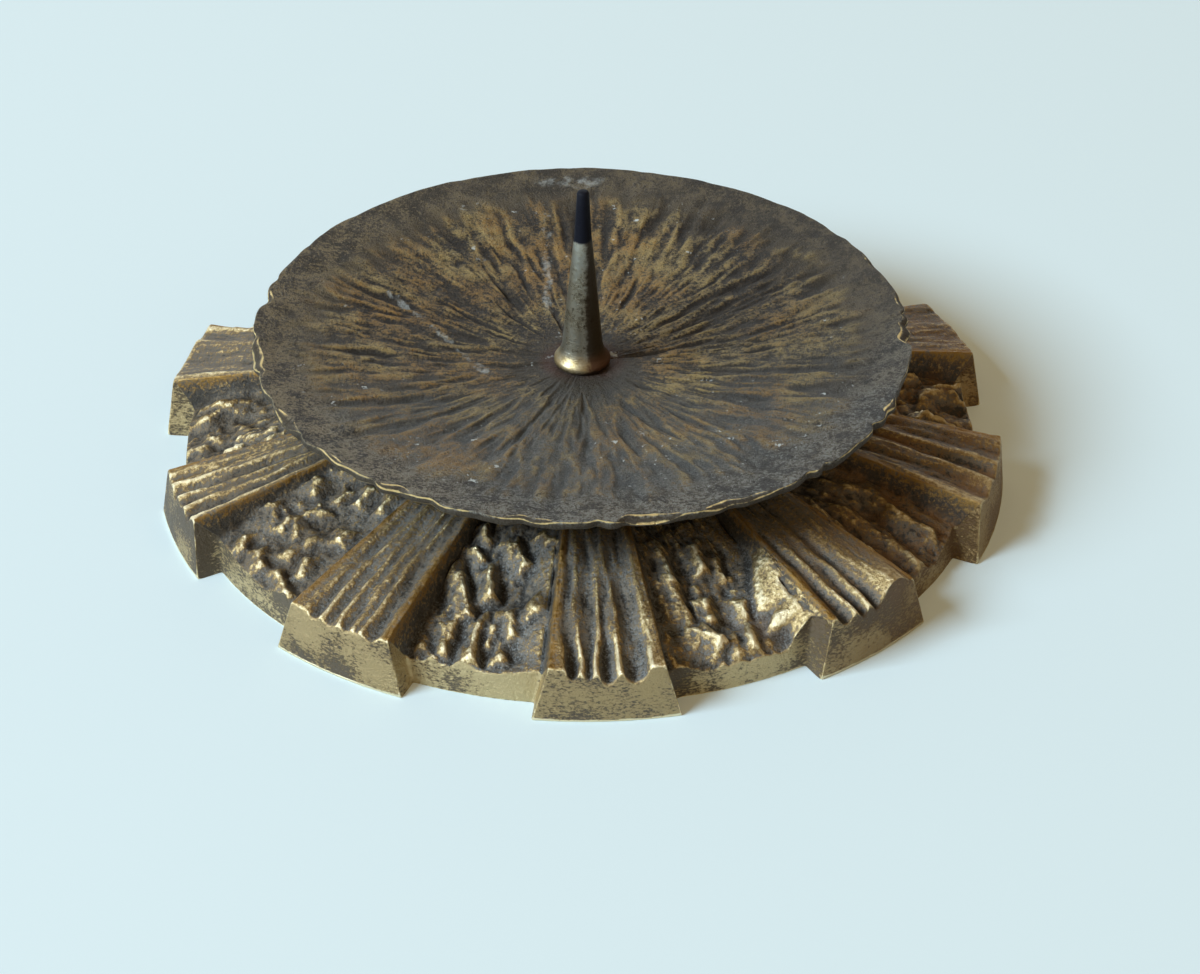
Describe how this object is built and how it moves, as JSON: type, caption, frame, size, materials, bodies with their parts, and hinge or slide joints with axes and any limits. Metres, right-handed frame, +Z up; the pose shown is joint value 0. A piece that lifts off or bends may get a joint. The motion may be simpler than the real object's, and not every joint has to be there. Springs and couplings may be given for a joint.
{
  "type": "altar candlestick",
  "caption": "Low cast bronze altar candlestick: a round foot of fluted radial ribs and rough panels carries a shallow drip pan with a turned pricket spike.",
  "frame": {"origin": "on the resting plane, on the axis of the pricket", "axes": "+Z up along the pricket; -Y through the middle of one rib"},
  "size_m": [0.1482, 0.15, 0.0539],
  "materials": {
    "foot_bronze": "sand cast bronze, dark brown patina in the hollows, worn golden on crests and edges",
    "pan_bronze": "cast and hammered bronze, dark brown grey patina with golden radial streaks",
    "spike_brass": "turned brass, dulled, with a blackened tip",
    "zinced_steel": "plain zinced fastener"
  },
  "bodies": {
    "foot": {"base_casting": "foot_bronze", "nut_washer": "zinced_steel", "hex_nut": "zinced_steel"},
    "pan": {"drip_pan": "pan_bronze"},
    "pricket": {"pricket": "spike_brass", "fixing_stud": "zinced_steel"}
  },
  "joints": [
    {"name": "pan_lift", "type": "slide", "parent": "foot", "child": "pan", "axis": [0, 0, 1], "range_m": [0, 0.018]},
    {"name": "pricket_lift", "type": "slide", "parent": "pan", "child": "pricket", "axis": [0, 0, 1], "range_m": [0, 0.026]}
  ]
}
